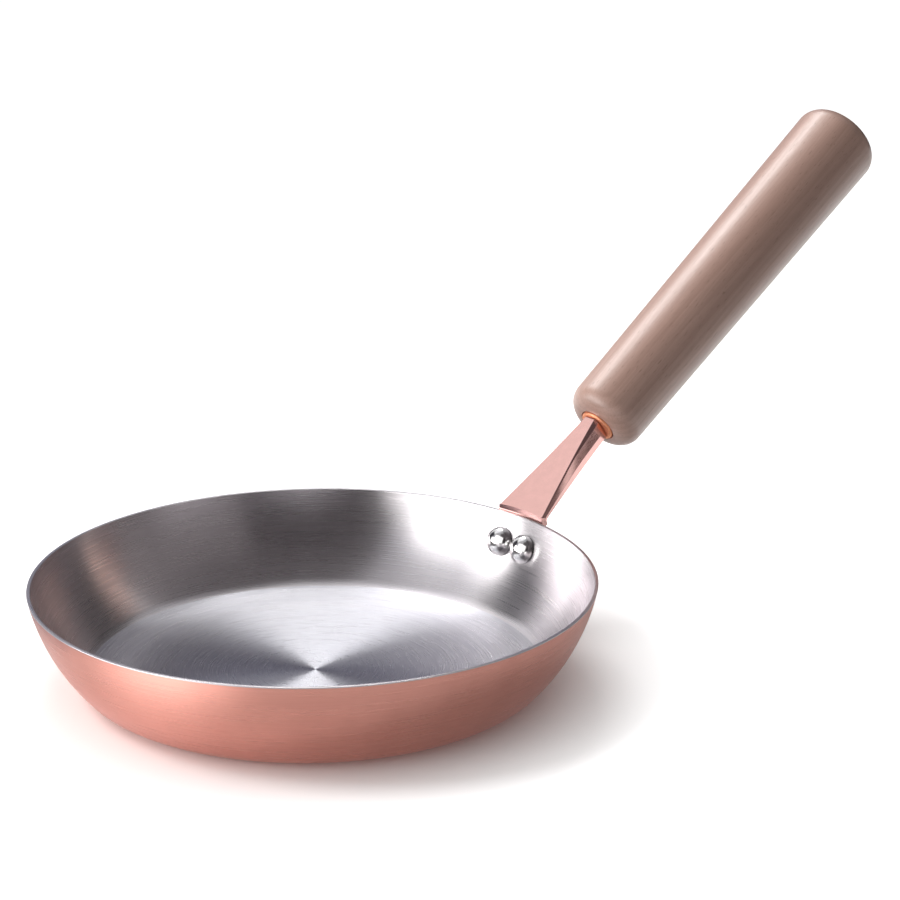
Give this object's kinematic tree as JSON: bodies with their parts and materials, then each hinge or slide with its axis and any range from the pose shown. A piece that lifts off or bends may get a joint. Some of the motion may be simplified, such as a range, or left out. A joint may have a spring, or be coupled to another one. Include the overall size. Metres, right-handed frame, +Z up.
{
  "type": "pancake pan",
  "caption": "Shallow round pan with flared copper walls, a brushed steel inside, a riveted faceted stem that rises from the rim and a turned wooden grip.",
  "frame": {"origin": "centre of the pan's flat underside", "axes": "+Z up out of the pan, +X from the pan's axis towards the handle"},
  "size_m": [0.3855, 0.2, 0.1712],
  "materials": {
    "copper": "satin copper, brushed around the pan",
    "brushed_steel": "spun brushing on the floor, brushed around the wall",
    "polished_steel": "mirror polish",
    "polished_copper": "polished rose copper plate",
    "collar_copper": "polished copper",
    "zinc_steel": "zinc plated",
    "brass": "turned",
    "beech": "satin oiled beech with a pink-brown tone"
  },
  "bodies": {
    "root": {"copper_shell": "copper", "steel_lining": "brushed_steel", "handle_bracket": "polished_copper", "rivet_left": "polished_steel", "rivet_right": "polished_steel", "grip_collar": "collar_copper", "handle_stud": "zinc_steel", "threaded_insert": "brass", "wooden_grip": "beech"}
  },
  "joints": []
}
